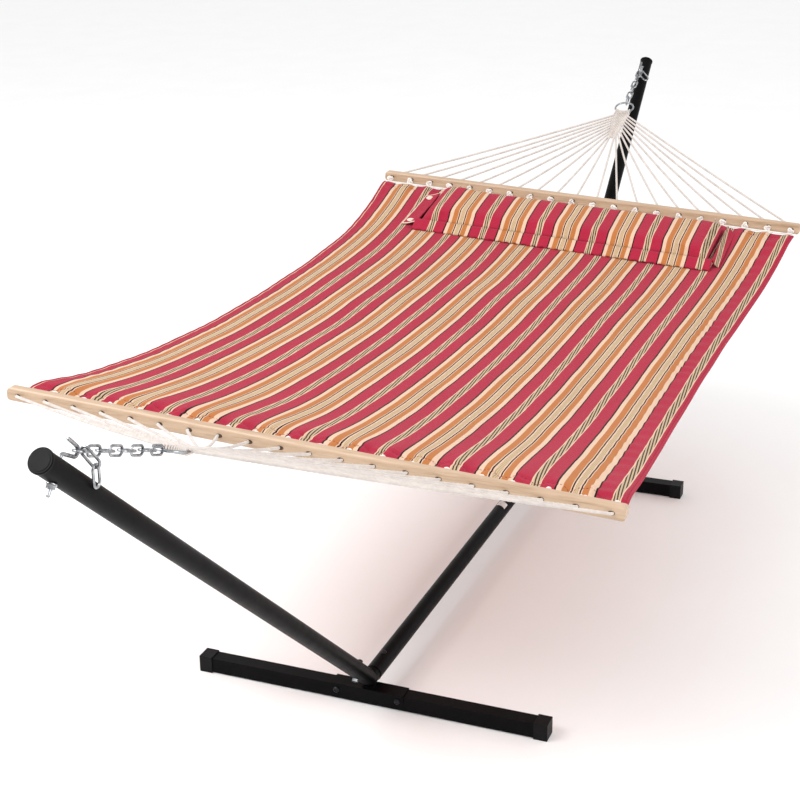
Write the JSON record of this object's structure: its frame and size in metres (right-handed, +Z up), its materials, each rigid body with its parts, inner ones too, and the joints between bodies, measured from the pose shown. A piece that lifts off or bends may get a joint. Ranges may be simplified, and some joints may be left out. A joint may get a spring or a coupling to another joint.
{
  "type": "hammock on stand",
  "caption": "Quilted double hammock with spreader bars and a pillow, hung by chains on a two-foot steel tube stand that comes apart.",
  "frame": {"origin": "on the floor, midway between the two feet", "axes": "+X along the stand towards the pillow end, +Y across the bed, +Z up"},
  "size_m": [3.944, 1.3988, 1.1567],
  "materials": {
    "black_steel": "satin black powder coat",
    "black_plastic": "moulded black plastic",
    "zinc": "bright zinc plate",
    "cream_rope": "twisted cream rope",
    "pale_wood": "varnished pale hardwood",
    "striped_fabric": "quilted woven stripes in red, orange, cream and olive",
    "cream_button": "moulded cream button"
  },
  "bodies": {
    "stand": {"near_foot_tube": "black_steel", "far_foot_tube": "black_steel", "near_foot_caps": "black_plastic", "far_foot_caps": "black_plastic", "near_elbow": "black_steel", "far_elbow": "black_steel", "near_arm_tube": "black_steel", "far_arm_tube": "black_steel", "near_arm_cap": "black_plastic", "far_arm_cap": "black_plastic", "beam_tube": "black_steel", "tube_bolts": "zinc", "tube_bolt_nuts": "zinc", "saddle_bolts": "zinc", "saddle_bolt_nuts": "zinc", "near_hook": "zinc", "far_hook": "zinc", "near_hook_nut": "zinc", "far_hook_nut": "zinc"},
    "hammock": {"near_chain": "zinc", "far_chain": "zinc", "near_ring": "zinc", "far_ring": "zinc", "near_clew": "cream_rope", "far_clew": "cream_rope", "near_ropes": "cream_rope", "far_ropes": "cream_rope", "near_spreader_bar": "pale_wood", "far_spreader_bar": "pale_wood", "near_hem_cord": "cream_rope", "far_hem_cord": "cream_rope", "near_knots": "cream_rope", "far_knots": "cream_rope", "bed": "striped_fabric"},
    "near_spare": {"near_spare_links": "zinc"},
    "far_spare": {"far_spare_link": "zinc"},
    "pillow": {"pillow": "striped_fabric", "pillow_flap": "striped_fabric", "pillow_buttons": "cream_button", "pillow_ties": "cream_rope"}
  },
  "joints": [
    {"name": "swing", "type": "hinge", "parent": "stand", "child": "hammock", "pos_m": [0, 0, 1.1162], "axis": [1, 0, 0], "range_deg": [-15, 15]},
    {"name": "near_spare_hang", "type": "hinge", "parent": "hammock", "child": "near_spare", "pos_m": [-1.8493, -0.0085, 1.1129], "axis": [1, 0, 0], "range_deg": [-15, 15]},
    {"name": "far_spare_hang", "type": "hinge", "parent": "hammock", "child": "far_spare", "pos_m": [1.8495, -0.0085, 1.1126], "axis": [1, 0, 0], "range_deg": [-15, 15]},
    {"name": "pillow_flip", "type": "hinge", "parent": "hammock", "child": "pillow", "pos_m": [1.1065, 0, 0.8], "axis": [0, 0.9988, 0.0489], "range_deg": [0, 50]}
  ],
  "couplings": [
    {"joint": "near_spare_hang", "follows": "swing", "ratio": -1},
    {"joint": "far_spare_hang", "follows": "swing", "ratio": -1}
  ]
}
